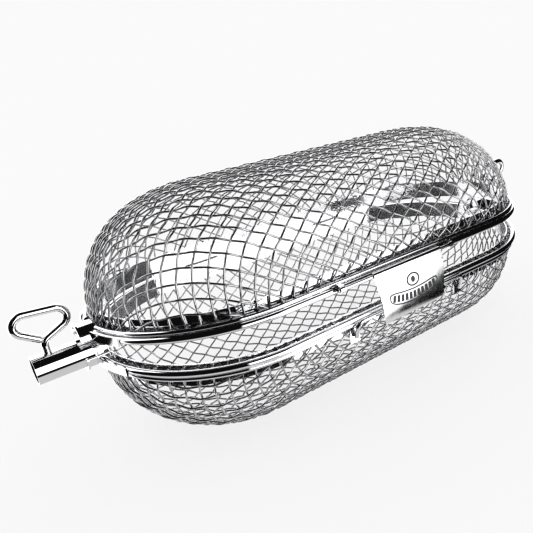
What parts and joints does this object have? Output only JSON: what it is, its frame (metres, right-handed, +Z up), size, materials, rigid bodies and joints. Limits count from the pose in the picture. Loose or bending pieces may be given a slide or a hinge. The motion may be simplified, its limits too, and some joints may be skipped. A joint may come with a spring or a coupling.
{
  "type": "rotisserie grill basket",
  "caption": "Hinged two-part woven-wire rotisserie basket carried on a spit tube at each end, with a latch plate and wire thumbscrews.",
  "frame": {"origin": "on the spit axis, midway between the outer ends of the two spit tubes", "axes": "+X along the spit axis, +Y towards the main hinge, away from the latch, +Z up, out of the lid"},
  "size_m": [0.4722, 0.2032, 0.1792],
  "materials": {
    "woven_wire": "polished stainless wire",
    "band_sheet": "polished stainless sheet",
    "rim_rod": "polished stainless rod",
    "spit_tube": "polished stainless tube",
    "collar_sheet": "polished stainless sheet",
    "screw_wire": "polished stainless rod",
    "hinge_steel": "polished stainless",
    "latch_sheet": "polished stainless sheet",
    "latch_wire_steel": "polished stainless wire"
  },
  "bodies": {
    "lower_basket": {"keeper_pads": "latch_wire_steel", "latch_keeper": "latch_wire_steel", "left_cradle": "collar_sheet", "left_hinge_pin": "hinge_steel", "left_lower_hinge_leaf": "hinge_steel", "left_spit_tube": "spit_tube", "lower_band": "band_sheet", "lower_mesh": "woven_wire", "lower_rim_rod_far": "rim_rod", "lower_rim_rod_near": "rim_rod", "lower_trim_rod_far": "rim_rod", "lower_trim_rod_near": "rim_rod", "right_cradle": "collar_sheet", "right_hinge_pin": "hinge_steel", "right_lower_hinge_leaf": "hinge_steel", "right_spit_tube": "spit_tube"},
    "lid": {"latch_wire": "latch_wire_steel", "latch_wire_clips": "latch_wire_steel", "left_saddle": "collar_sheet", "left_upper_hinge_leaf": "hinge_steel", "right_saddle": "collar_sheet", "right_upper_hinge_leaf": "hinge_steel", "upper_band": "band_sheet", "upper_mesh": "woven_wire", "upper_rim_rod_far": "rim_rod", "upper_rim_rod_near": "rim_rod", "upper_trim_rod_far": "rim_rod", "upper_trim_rod_near": "rim_rod"},
    "latch": {"latch_plate": "latch_sheet"},
    "left_screw": {"left_screw_shank": "screw_wire"},
    "left_loop": {"left_screw_loop": "screw_wire"},
    "right_screw": {"right_screw_shank": "screw_wire"},
    "right_loop": {"right_screw_loop": "screw_wire"}
  },
  "joints": [
    {"name": "lid_hinge", "type": "hinge", "parent": "lower_basket", "child": "lid", "pos_m": [0, 0.0965, 0], "axis": [-1, 0, 0], "range_deg": [-5.5, 140]},
    {"name": "latch_hinge", "type": "hinge", "parent": "lid", "child": "latch", "pos_m": [0.002, -0.09752, 0.02371], "axis": [-1, 0, 0], "range_deg": [0, 150]},
    {"name": "left_screw_travel", "type": "slide", "parent": "lower_basket", "child": "left_screw", "axis": [0, 0, 1], "range_m": [-0.005, 0.001]},
    {"name": "left_screw_turn", "type": "hinge", "parent": "left_screw", "child": "left_loop", "pos_m": [-0.2195, 0, 0.012], "axis": [0, 0, 1], "range_deg": [-2250, 450]},
    {"name": "right_screw_travel", "type": "slide", "parent": "lower_basket", "child": "right_screw", "axis": [0, 0, 1], "range_m": [-0.005, 0.001]},
    {"name": "right_screw_turn", "type": "hinge", "parent": "right_screw", "child": "right_loop", "pos_m": [0.2195, 0, 0.012], "axis": [0, 0, 1], "range_deg": [-2250, 450]}
  ],
  "couplings": [
    {"joint": "left_screw_travel", "follows": "left_screw_turn", "m_per_rad": 0.00012732},
    {"joint": "right_screw_travel", "follows": "right_screw_turn", "m_per_rad": 0.00012732}
  ]
}
